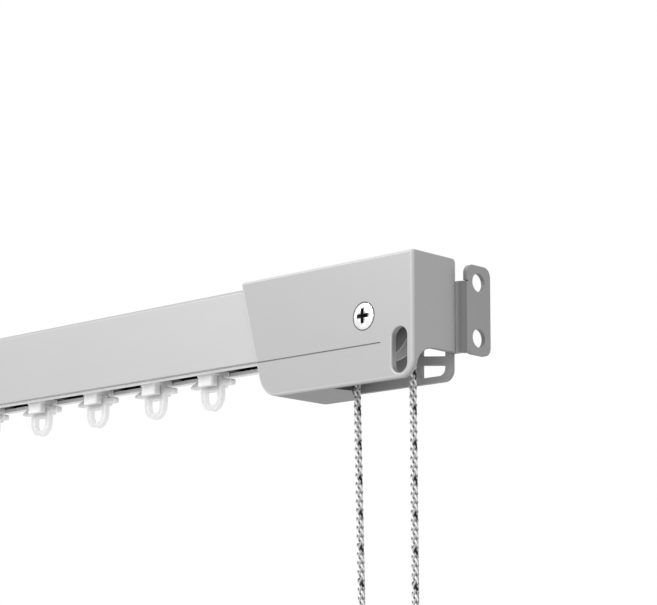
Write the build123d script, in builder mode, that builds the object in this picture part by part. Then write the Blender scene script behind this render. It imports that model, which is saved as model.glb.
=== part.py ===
from build123d import *
import math
import os

# Corded curtain track: an aluminium rail between a control head, where the cords come out,
# and a return head, with gliders, a cord-drawn carrier and a weight that keeps the cord taut.
# X runs along the rail towards the control head, Y back towards the wall and Z up.
# The origin is midway between the two fixing holes, on the outer face of the control flange.

os.makedirs("parts", exist_ok=True)

# Driving dimensions in millimetres, from the photograph unless said otherwise.
track_length = 480.0  # over the outer faces of both flanges, cut short for this model
sheet = 1.5  # thickness of the steel brackets
flange_width = 11.5
flange_height = 28.6
fixing_spacing = 17.8
fixing_hole = 6.0
neck_height = 22.8
cover_gap = 3.0  # from the flange's face to the cover's end
cover_top = 15.8
cover_height = 39.7
cover_width = 76.1  # along its top edge
cover_front = -27.95
cover_depth = 21.9
cover_slant = 0.2726  # run of the cover's inner edge for each millimetre of drop
floor_end = -38.3  # where the belly's floor ends in front and the cords' way out begins
floor_end_behind = -48.5  # the floor's end runs back aslant to here
wall = 2.2
top_wall = 1.5
rail_depth = 18.0
rail_height = 25.2
rail_wall = 1.3
slot_width = 8.9
lip = 0.8  # thickness of the rail's lips beside its slot
rib = 1.9  # width of the low ribs under the lips, along the slot
rib_height = 0.45
cord_radius = 1.15
head_pitch_radius = 10.2  # from the wheel's axis to the middle of the cord
inner_pitch_radius = 8.0  # guessed, with everything else that the covers hide
weight_pitch_radius = 10.9  # set so that the cords lean as in the photograph
screw_radius = 1.95  # M4 screws
glider_length = 16.7
glider_places = (-103.6, -132.4, -163.4, -195.0, -226.0, -257.0, -288.0)  # the last three are guessed
carrier_place = -412.0  # guessed

# Places worked out from them.
cover_end = -cover_gap
cover_bottom = cover_top - cover_height
cover_back = cover_front + cover_depth
cover_inside = cover_front + wall
rail_front = cover_inside + 0.2
rail_middle = rail_front + rail_depth / 2
rail_back = rail_front + rail_depth
rail_top = cover_top - top_wall - 0.1
rail_bottom = rail_top - rail_height
lip_top = rail_bottom + lip
rib_bottom = rail_bottom - rib_height
chamber = rail_depth - 2 * rail_wall
plate_front = rail_back + 0.1
plate_back = plate_front + sheet
head_wheel_at = (-23.45, -2.85)
upper_run = head_wheel_at[1] + head_pitch_radius
lower_run = -3.2
inner_wheel_at = (-45.1, lower_run - inner_pitch_radius)
return_pitch_radius = (upper_run - lower_run) / 2
return_wheel_at = (24.0 - track_length, lower_run + return_pitch_radius)
weight_wheel_at = (-22.7, -117.0)
rail_end = -57.0
rail_start = 34.0 - track_length
bracket_screws_at = (-71.0, -62.0, rail_start + 5.0, rail_start + 14.0)
bracket_screws_height = 5.0


def at_depth(y):
    """Sketch plane facing the room at depth y, with X and Z as its own axes."""
    return Plane.XZ.offset(-y)


def across(x, z):
    """Axis that runs back through the object at x and z."""
    return Axis((x, 0, z), (0, 1, 0))


def save(name, part):
    """Label one finished piece and write it."""
    part.label = name
    export_step(part, f"parts/{name}.step")


# Rail: a closed upper chamber for the returning cord over an open channel for the gliders.
with BuildPart() as rail:
    upper_height = 10.0
    web = 1.2
    channel_top = rail_top - rail_wall - upper_height - web
    with BuildSketch(Plane.YZ.offset(rail_start)):
        with Locations((rail_middle, rail_top - rail_height / 2)):
            Rectangle(rail_depth, rail_height)
        corners = vertices()
        fillet(corners.group_by(Axis.Y)[-1], 1.4)
        fillet(corners.group_by(Axis.Y)[0], 0.5)
        with Locations((rail_middle, rail_top - rail_wall - upper_height / 2)):
            RectangleRounded(chamber, upper_height, 0.5, mode=Mode.SUBTRACT)
        with Locations((rail_middle, (channel_top + lip_top) / 2)):
            RectangleRounded(chamber, channel_top - lip_top, 0.5, mode=Mode.SUBTRACT)
        with Locations((rail_middle, rail_bottom)):
            Rectangle(slot_width, 3 * lip, mode=Mode.SUBTRACT)
        with Locations((rail_middle, rib_bottom)):
            with GridLocations(slot_width + rib, 0, 2, 1):
                Rectangle(rib, rib_height + lip, align=(Align.CENTER, Align.MIN))
    extrude(amount=rail_end - rail_start)
    with BuildSketch(at_depth(rail_back - 2 * rail_wall)):
        with Locations(*[(x, bracket_screws_height) for x in bracket_screws_at]):
            Circle(screw_radius + 0.05)
    extrude(amount=-3 * rail_wall, mode=Mode.SUBTRACT)
save("rail", rail.part)


# Flange with two fixing holes, and the bent neck that joins it to its plate, at the control end.
with BuildPart() as flange:
    bend = sheet + 1.0
    neck_bottom = 0.1 - flange_height / 2
    neck_start = -8.0
    with BuildSketch(Plane.YZ.offset(-sheet)):
        RectangleRounded(flange_width, flange_height, 3.0)
        with Locations((plate_front, neck_bottom - 0.2)):
            Rectangle(2 * bend, neck_height + 0.6, align=(Align.CENTER, Align.MIN), mode=Mode.SUBTRACT)
        with GridLocations(0, fixing_spacing, 1, 2):
            Circle(fixing_hole / 2, mode=Mode.SUBTRACT)
    extrude(amount=sheet)
    with BuildSketch(Plane.XY.offset(neck_bottom)):
        with BuildLine():
            Line((neck_start, plate_front), (-bend, plate_front))
            RadiusArc((-bend, plate_front), (0, plate_front + bend), -bend)
            Line((0, plate_front + bend), (-sheet, plate_front + bend))
            RadiusArc((-sheet, plate_front + bend), (-bend, plate_back), 1.0)
            Line((-bend, plate_back), (neck_start, plate_back))
            Line((neck_start, plate_back), (neck_start, plate_front))
        make_face()
    extrude(amount=neck_height)


# Control bracket: the plate that the wheels' axles are riveted to, with its window and bar.
with BuildPart() as end_bracket:
    add(flange.part)
    plate_top = rail_top - 1.0
    plate_bottom = cover_bottom + 1.2
    plate_corner = (-5.0, plate_bottom)
    plate_step = -46.4
    with BuildSketch(at_depth(plate_front)):
        with BuildLine():
            Polyline(
                (-5.8, plate_top), (-76.0, plate_top), (-76.0, -8.5), (-57.0, -8.5), (-57.0, -18.6),
                (plate_step, -18.6), (plate_step, plate_bottom), plate_corner, (-5.0, neck_bottom),
                (-5.8, neck_bottom),
                close=True,
            )
        make_face()
        fillet(vertices().sort_by_distance(plate_corner)[0], 3.6)
        fillet(vertices().group_by(Axis.X)[0], 3.0)
    extrude(amount=-sheet)
    with BuildSketch(at_depth(plate_front)):
        with Locations((-12.6, -15.95)):
            Rectangle(10.0, 9.5)
        window_corner = vertices().sort_by_distance((-7.6, -20.7))[0]
        fillet(vertices() - ShapeList([window_corner]), 0.8)
        fillet(vertices().sort_by_distance((-7.6, -20.7))[0], 2.4)
    extrude(amount=-sheet, mode=Mode.SUBTRACT)
    with BuildSketch(at_depth(plate_front)):
        with Locations(Location((-12.6, -15.6, 0), (0, 0, -6.5))):
            Rectangle(10.8, 2.9)
    extrude(amount=-sheet)
    with BuildSketch(at_depth(plate_front)):
        with Locations(head_wheel_at):
            Circle(2.5)
        with Locations(inner_wheel_at):
            Circle(2.0)
        with Locations(*[(x, bracket_screws_height) for x in bracket_screws_at[:2]]):
            Circle(screw_radius + 0.2)
    extrude(amount=-sheet, mode=Mode.SUBTRACT)
save("end_bracket", end_bracket.part)


# Return bracket: the same flange at the other end, on a shorter plate.
with BuildPart() as return_bracket:
    add(mirror(flange.part, about=Plane.YZ.offset(-track_length / 2)))
    with BuildSketch(at_depth(plate_front)):
        with BuildLine():
            Polyline(
                (5.8 - track_length, plate_top), (rail_start + 19.0, plate_top), (rail_start + 19.0, -8.5),
                (-455.0, neck_bottom), (5.8 - track_length, neck_bottom), close=True,
            )
        make_face()
        fillet(vertices().group_by(Axis.X)[-1], 3.0)
        with Locations(return_wheel_at):
            Circle(2.0, mode=Mode.SUBTRACT)
        with Locations(*[(x, bracket_screws_height) for x in bracket_screws_at[2:]]):
            Circle(screw_radius + 0.2, mode=Mode.SUBTRACT)
    extrude(amount=-sheet)
save("return_bracket", return_bracket.part)


# Bracket screws: four pan heads behind the plates, tapped into the rail's back wall.
with BuildPart() as bracket_screws:
    for x in bracket_screws_at:
        with BuildSketch(at_depth(plate_back)):
            with Locations((x, bracket_screws_height)):
                Circle(3.8)
        extrude(amount=-2.0)
        with BuildSketch(at_depth(plate_back)):
            with Locations((x, bracket_screws_height)):
                Circle(screw_radius)
        extrude(amount=6.0)
    chamfer(edges().filter_by(GeomType.CIRCLE).group_by(Axis.Y)[-1], 0.7)
save("bracket_screws", bracket_screws.part)


# Control cover: a moulded shell, open behind, round the rail and under the wheels.
with BuildPart() as head_cover:
    belly_back = cover_back + 2.1
    end_wall_bottom = cover_top - 29.8
    belly_radius = 8.5
    top_corner = (cover_end - cover_width, cover_top)
    low_corner = (top_corner[0] + cover_slant * cover_height, cover_bottom)
    with BuildSketch(at_depth(cover_front)):
        with BuildLine():
            Polyline(top_corner, low_corner, (cover_end, cover_bottom), (cover_end, cover_top), close=True)
        make_face()
        fillet(vertices().sort_by_distance(low_corner)[0], belly_radius)
        fillet(vertices().sort_by_distance((cover_end, cover_bottom))[0], 5.6)
        fillet(vertices().group_by(Axis.Y)[-1], 0.6)
    extrude(amount=cover_front - belly_back)
    # Only the belly reaches back under the plate.
    with BuildSketch(at_depth(cover_back)):
        with BuildLine():
            Polyline((-90, -12), (floor_end, -12), (floor_end, -30), (10, -30), (10, 20), (-90, 20), close=True)
        make_face()
    extrude(amount=-5.0, mode=Mode.SUBTRACT)
    fillet(faces().sort_by(Axis.Y)[0].outer_wire().edges(), 1.0)
    top_back = edges().filter_by(Axis.X).group_by(Axis.Z)[-1].sort_by(Axis.Y)[-1]
    fillet(top_back, 2.8)
    # Inside, in one outline: the rail's way in, the belly, the cords' way out and the end wall.
    low_inside = cover_bottom + wall
    sill = rib_bottom - 0.3
    slant_offset = wall * math.hypot(1, cover_slant)
    belly_corner = (low_corner[0] + slant_offset - cover_slant * wall, low_inside)
    sill_corner = (top_corner[0] + slant_offset + cover_slant * (cover_top - sill), sill)
    with BuildSketch(at_depth(cover_inside)):
        with BuildLine():
            Polyline(
                (-90, cover_top - top_wall), (-90, sill), sill_corner, belly_corner, (floor_end, low_inside),
                (floor_end, -30), (10, -30), (10, end_wall_bottom), (cover_end - wall, end_wall_bottom),
                (cover_end - wall, cover_top - top_wall), close=True,
            )
        make_face()
        fillet(vertices().sort_by_distance(belly_corner)[0], belly_radius - wall)
    extrude(amount=cover_inside - belly_back - 1, mode=Mode.SUBTRACT)
    with BuildSketch(Plane.XY.offset(cover_bottom - 1)):
        with BuildLine():
            Polyline(
                (floor_end, cover_inside), (floor_end + 1, cover_inside), (floor_end + 1, belly_back + 1),
                (floor_end_behind, belly_back + 1), (floor_end_behind, belly_back), close=True,
            )
        make_face()
    extrude(amount=wall + 1.5, mode=Mode.SUBTRACT)
    fillet(edges().filter_by(Axis.Z).sort_by_distance((floor_end_behind, belly_back, cover_bottom + 1))[0], 2.5)
    # The end wall runs down into the front wall in a shallow hollow curve.
    web_reach = 6.2
    web_drop = 4.8
    with BuildSketch(Plane.YZ.offset(cover_end - wall)):
        with BuildLine():
            Polyline(
                (cover_inside, end_wall_bottom - web_drop), (cover_inside, end_wall_bottom + 0.5),
                (cover_inside + web_reach, end_wall_bottom + 0.5), (cover_inside + web_reach, end_wall_bottom),
            )
            RadiusArc(
                (cover_inside + web_reach, end_wall_bottom),
                (cover_inside, end_wall_bottom - web_drop), -9.0,
            )
        make_face()
    extrude(amount=wall)
    # Notch for the bracket's neck.
    with BuildSketch(Plane.YZ.offset(cover_end - wall - 0.1)):
        with Locations((plate_front - 0.1, neck_bottom - 0.3)):
            Rectangle(5.0, neck_height + 0.6, align=(Align.MIN, Align.MIN))
    extrude(amount=wall + 0.2, mode=Mode.SUBTRACT)
    # Boss, countersunk hole, upright slot and the line across the front.
    with BuildSketch(at_depth(cover_inside)):
        with Locations(head_wheel_at):
            Circle(4.5)
    extrude(amount=-4.5)
    with Locations(Location((head_wheel_at[0], cover_front, head_wheel_at[1]), (90, 0, 0))):
        CounterSinkHole(2.2, 4.4, depth=7.0, counter_sink_angle=90)
    with BuildSketch(at_depth(cover_front)):
        with Locations(head_wheel_at):
            Circle(4.6)
    extrude(amount=-0.25, mode=Mode.SUBTRACT)
    with BuildSketch(at_depth(cover_front - 1)):
        with Locations((-8.65, -15.15)):
            SlotOverall(14.5, 6.3, rotation=90)
    extrude(amount=-wall - 2, mode=Mode.SUBTRACT)
    slot_rim = faces().sort_by(Axis.Y)[0].inner_wires().sort_by(Axis.X)[-1].edges()
    fillet(slot_rim, 0.5)
    with BuildSketch(at_depth(cover_front)):
        with Locations((-16.4, cover_top - 27.9)):
            Rectangle(60.0, 0.45, align=(Align.MAX, Align.CENTER))
    extrude(amount=-0.3, mode=Mode.SUBTRACT)
save("head_cover", head_cover.part)


# Return cover: the same shell, shorter and closed below, because no cord leaves this head.
with BuildPart() as return_cover:
    return_end = cover_gap - track_length
    return_bottom = rib_bottom - 0.3 - wall
    return_top_corner = (return_end + 50.0, cover_top)
    return_low_corner = (return_top_corner[0] - cover_slant * (cover_top - return_bottom), return_bottom)
    with BuildSketch(at_depth(cover_front)):
        with BuildLine():
            Polyline(
                (return_end, cover_top), (return_end, return_bottom), return_low_corner, return_top_corner,
                close=True,
            )
        make_face()
        fillet(vertices().group_by(Axis.Y)[0], 3.0)
        fillet(vertices().group_by(Axis.Y)[-1], 0.6)
    extrude(amount=-cover_depth)
    fillet(faces().sort_by(Axis.Y)[0].outer_wire().edges(), 1.0)
    return_top_back = edges().filter_by(Axis.X).group_by(Axis.Z)[-1].sort_by(Axis.Y)[-1]
    fillet(return_top_back, 2.8)
    with BuildSketch(at_depth(cover_inside)):
        with BuildLine():
            Polyline(
                (return_end + wall, cover_top - top_wall), (return_end + wall, return_bottom + wall),
                (-400.0, return_bottom + wall), (-400.0, cover_top - top_wall), close=True,
            )
        make_face()
    extrude(amount=-cover_depth, mode=Mode.SUBTRACT)
    with BuildSketch(Plane.YZ.offset(return_end - 0.1)):
        with Locations((plate_front - 0.1, neck_bottom - 0.3)):
            Rectangle(5.0, neck_height + 0.6, align=(Align.MIN, Align.MIN))
    extrude(amount=wall + 0.2, mode=Mode.SUBTRACT)
    # The floor stops short of the bracket's plate.
    with BuildSketch(Plane.YZ.offset(return_end - 0.1)):
        with Locations((plate_front - 0.15, return_bottom - 0.1)):
            Rectangle(5.0, wall + 0.2, align=(Align.MIN, Align.MIN))
    extrude(amount=60.0, mode=Mode.SUBTRACT)
    with BuildSketch(at_depth(cover_inside)):
        with Locations(return_wheel_at):
            Circle(4.5)
    extrude(amount=-4.5)
    with Locations(Location((return_wheel_at[0], cover_front, return_wheel_at[1]), (90, 0, 0))):
        CounterSinkHole(2.2, 4.4, depth=7.0, counter_sink_angle=90)
save("return_cover", return_cover.part)


def cover_screw(at):
    """Raised countersunk M4 screw with a cross recess, driven into the end of an axle."""
    with BuildPart() as screw:
        head_radius = 4.3
        dome = 0.8
        neck_y = cover_front + head_radius - screw_radius
        with BuildSketch(Plane((at[0], 0, at[1]))):
            with BuildLine():
                Polyline(
                    (0, cover_front - dome), (0.5 * head_radius, cover_front - 0.8 * dome),
                    (0.85 * head_radius, cover_front - 0.35 * dome), (head_radius, cover_front - 0.05),
                )
                Line((head_radius, cover_front - 0.05), (screw_radius, neck_y))
                Line((screw_radius, neck_y), (screw_radius, neck_y + 11.0))
                Line((screw_radius, neck_y + 11.0), (0, neck_y + 11.0))
                Line((0, neck_y + 11.0), (0, cover_front - dome))
            make_face()
        revolve(axis=across(*at))
        with BuildSketch(at_depth(cover_front - dome)):
            with Locations(at):
                Rectangle(4.8, 1.3)
                Rectangle(1.3, 4.8)
        extrude(amount=-2.2, taper=12, mode=Mode.SUBTRACT)
    return screw.part


save("cover_screw", cover_screw(head_wheel_at))
save("return_screw", cover_screw(return_wheel_at))


def axle(at, journal_radius, front, rivet_radius, bore_depth=0.0, groove_y=None):
    """Turned steel axle along Y: a journal for the wheel, a collar, and an end riveted into the plate."""
    with BuildPart() as pin:
        collar_radius = journal_radius + 1.5
        collar_y = plate_front - 4.7
        with BuildSketch(Plane((at[0], 0, at[1]))):
            with BuildLine():
                Polyline(
                    (0, front), (journal_radius - 0.3, front), (journal_radius, front + 0.3),
                    (journal_radius, collar_y), (collar_radius, collar_y), (collar_radius, plate_front),
                    (rivet_radius, plate_front), (rivet_radius, plate_back),
                    (rivet_radius + 1.2, plate_back), (rivet_radius + 0.4, plate_back + 0.8),
                    (0, plate_back + 0.8), close=True,
                )
            make_face()
        revolve(axis=across(*at))
        if bore_depth:
            with BuildSketch(at_depth(front)):
                with Locations(at):
                    Circle(screw_radius + 0.05)
            extrude(amount=-bore_depth, mode=Mode.SUBTRACT)
        if groove_y:
            with BuildSketch(at_depth(groove_y)):
                with Locations(at):
                    Circle(journal_radius + 1)
                    Circle(journal_radius - 0.5, mode=Mode.SUBTRACT)
            extrude(amount=-0.7, mode=Mode.SUBTRACT)
    return pin.part


axle_front = cover_inside + 4.6
clip_y = -21.05
save("wheel_axle", axle(head_wheel_at, 3.0, axle_front, 2.45, bore_depth=9.0))
save("return_axle", axle(return_wheel_at, 2.5, axle_front, 1.95, bore_depth=9.0))
save("inner_axle", axle(inner_wheel_at, 2.5, clip_y - 1.0, 1.95, groove_y=clip_y))

# Retaining clip in the inner axle's groove, open at one side.
with BuildPart() as inner_clip:
    with BuildSketch(at_depth(clip_y + 0.05)):
        with Locations(inner_wheel_at):
            Circle(4.2)
            Circle(2.05, mode=Mode.SUBTRACT)
        with Locations((inner_wheel_at[0] + 3.0, inner_wheel_at[1])):
            Rectangle(6.0, 3.0, mode=Mode.SUBTRACT)
    extrude(amount=-0.6)
save("inner_clip", inner_clip.part)


def pulley(at, pitch_radius, rim, hub_radius, bore_radius, hub_width, rim_width, holes):
    """Cord wheel on an axis along Y: a hub, a web with holes or none, and a rim with a tapered groove."""
    floor = pitch_radius - cord_radius - 0.2
    rim_radius = pitch_radius + rim
    rim_inside = floor - 1.2
    web_half = 1.1
    # Half of the wheel's section, from the hub out to the floor of the groove.
    side = [(bore_radius, hub_width / 2), (hub_radius, hub_width / 2)]
    if holes:
        side += [(hub_radius, web_half), (rim_inside, web_half), (rim_inside, rim_width / 2)]
    else:
        side += [(hub_radius, rim_width / 2)]
    side += [(rim_radius, rim_width / 2), (rim_radius, rim_width / 2 - 0.5), (floor, 0.8)]
    with BuildPart() as wheel:
        with BuildSketch(Plane((at[0], rail_middle, at[1]))):
            with BuildLine():
                Polyline(*side, *[(radius, -y) for radius, y in reversed(side)], close=True)
            make_face()
        revolve(axis=across(*at))
        if holes:
            with BuildSketch(at_depth(rail_middle - web_half)):
                with Locations(at):
                    with PolarLocations((hub_radius + rim_inside) / 2, holes):
                        Circle(0.36 * (rim_inside - hub_radius))
            extrude(amount=-2 * web_half, mode=Mode.SUBTRACT)
    return wheel.part


save("head_wheel", pulley(head_wheel_at, head_pitch_radius, 2.4, 4.6, 3.05, 8.0, 5.6, 6))
save("inner_wheel", pulley(inner_wheel_at, inner_pitch_radius, 1.6, 3.6, 2.55, 7.0, 5.0, 5))
save("return_wheel", pulley(return_wheel_at, return_pitch_radius, 2.1, 3.4, 2.55, 8.0, 5.0, 0))


def end_stop(start, end):
    """Plug in the rail's channel that keeps the gliders in."""
    with BuildPart() as stop:
        with BuildSketch(Plane.YZ.offset(start)):
            with Locations((rail_middle, lip_top + 0.1)):
                Rectangle(chamber - 0.4, 3.6, align=(Align.CENTER, Align.MIN))
            fillet(vertices().group_by(Axis.Y)[-1], 1.0)
            with Locations((rail_middle, rib_bottom)):
                Rectangle(slot_width - 0.4, lip_top + 0.2 - rib_bottom, align=(Align.CENTER, Align.MIN))
        extrude(amount=end - start)
        chamfer(edges().filter_by(Axis.Y).group_by(Axis.Z)[0], 0.4)
    return stop.part


save("end_stop", end_stop(rail_end - 6.0, rail_end))
save("return_stop", end_stop(rail_start, rail_start + 6.0))


# One glider, drawn at x = 0: a sliding shoe, a block that comes down through the slot, and a plate
# across it with two wings and a ring for the hook.
eye_half = 3.1
ring_half = 4.8
ring_thickness = 2.5
wing_half = 9.8
wing_bottom = rail_bottom - 4.15
wing_top = rib_bottom - 0.35
shoulder = wing_bottom - 3.1


def hook_outline(half_width, depth, middle, top):
    """Outline of a ring or its eye: half an ellipse below, straight sides up to a level top."""
    with BuildSketch() as outline:
        with BuildLine():
            EllipticalCenterArc((0, middle), half_width, depth, start_angle=180, arc_size=180)
            Polyline((half_width, middle), (half_width, top), (-half_width, top), (-half_width, middle))
        make_face()
    return outline.sketch


ring_outline = hook_outline(ring_half, 5.1, shoulder, wing_bottom + 0.5)
eye_outline = hook_outline(eye_half, 3.2, shoulder - 0.3, shoulder + 1.5)

with BuildPart() as glider:
    shoe_bottom = lip_top + 0.15
    foot_width = slot_width - 0.6
    with BuildSketch(Plane.XY.offset(shoe_bottom)):
        with Locations((0, rail_middle)):
            Rectangle(glider_length, chamber - 1.6)
        chamfer(vertices(), 2.0)
    extrude(amount=1.8)
    chamfer(faces().sort_by(Axis.Z)[-1].edges(), 0.5)
    with BuildSketch(Plane.XY.offset(wing_top)):
        with Locations((0, rail_middle)):
            Rectangle(9.0, foot_width)
        chamfer(vertices(), 1.0)
    extrude(amount=shoe_bottom + 0.5 - wing_top)
    with BuildSketch(Plane.XY.offset(wing_bottom)):
        with Locations((0, rail_middle)):
            RectangleRounded(6.8, foot_width, 0.7)
    extrude(amount=wing_top + 0.3 - wing_bottom)
    # One wing slopes down to its tip, and the other dips in a hollow curve to a blunt end.
    with BuildSketch(at_depth(rail_middle - ring_thickness / 2)):
        with BuildLine():
            Polyline(
                (4.4, wing_top), (-4.4, wing_top), (-wing_half, wing_bottom + 0.9), (-wing_half, wing_bottom),
                (wing_half, wing_bottom), (wing_half, wing_bottom + 1.9), (wing_half - 1.5, wing_bottom + 1.9),
            )
            RadiusArc((wing_half - 1.5, wing_bottom + 1.9), (4.4, wing_top), 4.0)
        make_face()
        fillet(vertices().group_by(Axis.X)[0], 0.4)
        fillet(vertices().group_by(Axis.X)[-1], 0.5)
        add(ring_outline)
        add(eye_outline, mode=Mode.SUBTRACT)
    extrude(amount=-ring_thickness)

for number, place in enumerate(glider_places, start=1):
    save(f"glider_{number}", Pos(place, 0, 0) * glider.part)


# Carrier: a longer shoe that the cord is tied into, so that it draws the curtain's leading edge.
with BuildPart() as carrier_body:
    carrier_length = 36.0
    with BuildSketch(Plane.XY.offset(shoe_bottom)):
        with Locations((carrier_place, rail_middle)):
            Rectangle(carrier_length, chamber - 1.6)
        chamfer(vertices(), 2.0)
    extrude(amount=1.8)
    with BuildSketch(Plane.XY.offset(shoe_bottom)):
        with Locations((carrier_place, rail_middle)):
            Rectangle(24.0, 8.0)
        chamfer(vertices(), 1.5)
    extrude(amount=8.9)
    chamfer(faces().sort_by(Axis.Z)[-1].edges(), 0.8)
    with BuildSketch(Plane.XY.offset(wing_top)):
        with Locations((carrier_place, rail_middle)):
            Rectangle(carrier_length - 2.0, foot_width)
        chamfer(vertices(), 1.0)
    extrude(amount=shoe_bottom + 0.5 - wing_top)
    with BuildSketch(Plane.XY.offset(wing_bottom)):
        with Locations((carrier_place, rail_middle)):
            RectangleRounded(30.0, foot_width, 2.5)
    extrude(amount=wing_top + 0.1 - wing_bottom)
    with BuildSketch(at_depth(rail_middle - ring_thickness / 2)):
        with Locations((carrier_place, 0)):
            add(ring_outline)
            add(eye_outline, mode=Mode.SUBTRACT)
    extrude(amount=-ring_thickness)
    # The cord's tunnel, and two holes for the screws that clamp its ends.
    with BuildSketch(Plane.YZ.offset(carrier_place - carrier_length)):
        with Locations((rail_middle, lower_run)):
            Circle(cord_radius + 0.35)
    extrude(amount=2 * carrier_length, mode=Mode.SUBTRACT)
    with BuildSketch(Plane.XY.offset(wing_bottom)):
        with Locations((carrier_place - 9.5, rail_middle), (carrier_place + 9.5, rail_middle)):
            Circle(1.5)
    extrude(amount=lower_run - cord_radius - 1.0 - wing_bottom, mode=Mode.SUBTRACT)
save("carrier_body", carrier_body.part)

# Clamp screws of the carrier, driven from below.
with BuildPart() as clamp_screws:
    for x in (carrier_place - 9.5, carrier_place + 9.5):
        with BuildSketch(Plane.XY.offset(wing_bottom)):
            with Locations((x, rail_middle)):
                Circle(2.6)
        extrude(amount=-1.5)
        with BuildSketch(Plane.XY.offset(wing_bottom)):
            with Locations((x, rail_middle)):
                Circle(1.45)
        extrude(amount=lower_run - cord_radius - 1.4 - wing_bottom)
save("clamp_screws", clamp_screws.part)


# The cord is one loop. Inside, it runs from the inner wheel along the channel, round the return
# wheel and back through the upper chamber to the control wheel.
rail_route = [
    (-37.03, rail_middle, -13.2),
    (-37.36, rail_middle, lower_run),
    (-461.275, rail_middle, lower_run),
    (-461.275, rail_middle, upper_run),
    (-13.38, rail_middle, upper_run),
    (-13.22, rail_middle, -4.85),
]
rail_radii = [inner_pitch_radius, return_pitch_radius - 0.1, return_pitch_radius - 0.1, head_pitch_radius]

# Below, both legs lean a little, as the photograph shows, and meet round the weight's wheel.
hanging_route = [
    (-37.03, rail_middle, -13.2),
    (-33.25, rail_middle, -127.9),
    (-11.66, rail_middle, -127.9),
    (-13.22, rail_middle, -4.85),
]
hanging_radii = [weight_pitch_radius - 0.1, weight_pitch_radius - 0.1]


def cord(name, route, radii):
    """Round tube along straight runs joined by arcs of the wheels' sizes."""
    with BuildPart() as tube:
        with BuildLine() as path:
            FilletPolyline(*route, radius=radii)
        with BuildSketch(Plane(path.line @ 0, z_dir=path.line % 0)):
            Circle(cord_radius)
        sweep()
    length = sum(edge.length for edge in path.edges())
    print(f"{name}: radii {radii}, length {length:.1f} mm, volume {tube.part.volume:.1f},")
    print(f"section times length {math.pi * cord_radius**2 * length:.1f} cubic mm")
    save(name, tube.part)


cord("rail_cord", rail_route, rail_radii)
cord("hanging_cord", hanging_route, hanging_radii)


# Cord weight: a strip yoke over a wheel, with a turned weight screwed under it. All of it is guessed.
yoke_half = 4.2
strip = 1.2
bridge_top = weight_wheel_at[1] - 16.0
with BuildPart() as weight_yoke:
    with BuildSketch(at_depth(rail_middle - yoke_half - strip)):
        with BuildLine():
            Polyline(
                (weight_wheel_at[0] - 5.0, bridge_top - strip), (weight_wheel_at[0] - 5.0, weight_wheel_at[1]),
            )
            RadiusArc(
                (weight_wheel_at[0] - 5.0, weight_wheel_at[1]),
                (weight_wheel_at[0] + 5.0, weight_wheel_at[1]), 5.0,
            )
            Polyline(
                (weight_wheel_at[0] + 5.0, weight_wheel_at[1]), (weight_wheel_at[0] + 5.0, bridge_top - strip),
                (weight_wheel_at[0] - 5.0, bridge_top - strip),
            )
        make_face()
        with Locations(weight_wheel_at):
            Circle(2.0, mode=Mode.SUBTRACT)
    extrude(amount=-2 * (yoke_half + strip))
    with BuildSketch(Plane.YZ.offset(weight_wheel_at[0] - 6.0)):
        with Locations((rail_middle, bridge_top)):
            Rectangle(2 * yoke_half, 30.0, align=(Align.CENTER, Align.MIN))
        fillet(vertices().group_by(Axis.Y)[0], 1.0)
    extrude(amount=12.0, mode=Mode.SUBTRACT)
    fillet(edges().filter_by(Axis.X).group_by(Axis.Z)[0], 2.0)
    with BuildSketch(Plane.XY.offset(bridge_top - 2 * strip)):
        with Locations((weight_wheel_at[0], rail_middle)):
            Circle(screw_radius + 0.1)
    extrude(amount=4 * strip, mode=Mode.SUBTRACT)
save("weight_yoke", weight_yoke.part)

save("weight_wheel", pulley(weight_wheel_at, weight_pitch_radius, 2.0, 4.0, 2.05, 7.6, 5.6, 6))

with BuildPart() as weight_pin:
    with BuildSketch(Plane((weight_wheel_at[0], rail_middle, weight_wheel_at[1]))):
        with BuildLine():
            outside = yoke_half + strip
            Polyline(
                (0, -outside - 0.9), (2.0, -outside - 0.9), (3.2, -outside), (2.0, -outside), (2.0, outside),
                (3.2, outside), (2.0, outside + 0.9), (0, outside + 0.9), close=True,
            )
        make_face()
    revolve(axis=across(*weight_wheel_at))
save("weight_pin", weight_pin.part)

weight_top = bridge_top - strip
with BuildPart() as cord_weight:
    with BuildSketch(Plane.XY.offset(weight_top)):
        with Locations((weight_wheel_at[0], rail_middle)):
            Circle(9.0)
    extrude(amount=-28.0)
    chamfer(edges().group_by(Axis.Z)[-1], 2.5)
    chamfer(edges().group_by(Axis.Z)[0], 2.0)
    with BuildSketch(Plane.XY.offset(weight_top)):
        with Locations((weight_wheel_at[0], rail_middle)):
            Circle(screw_radius + 0.05)
    extrude(amount=-12.0, mode=Mode.SUBTRACT)
save("cord_weight", cord_weight.part)

with BuildPart() as weight_screw:
    with BuildSketch(Plane.XY.offset(bridge_top)):
        with Locations((weight_wheel_at[0], rail_middle)):
            Circle(3.4)
    extrude(amount=2.0)
    chamfer(edges().group_by(Axis.Z)[-1], 0.7)
    with BuildSketch(Plane.XY.offset(bridge_top)):
        with Locations((weight_wheel_at[0], rail_middle)):
            Circle(screw_radius)
    extrude(amount=-11.0)
save("weight_screw", weight_screw.part)
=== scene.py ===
import bpy
import math
from mathutils import Matrix, Vector


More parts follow.
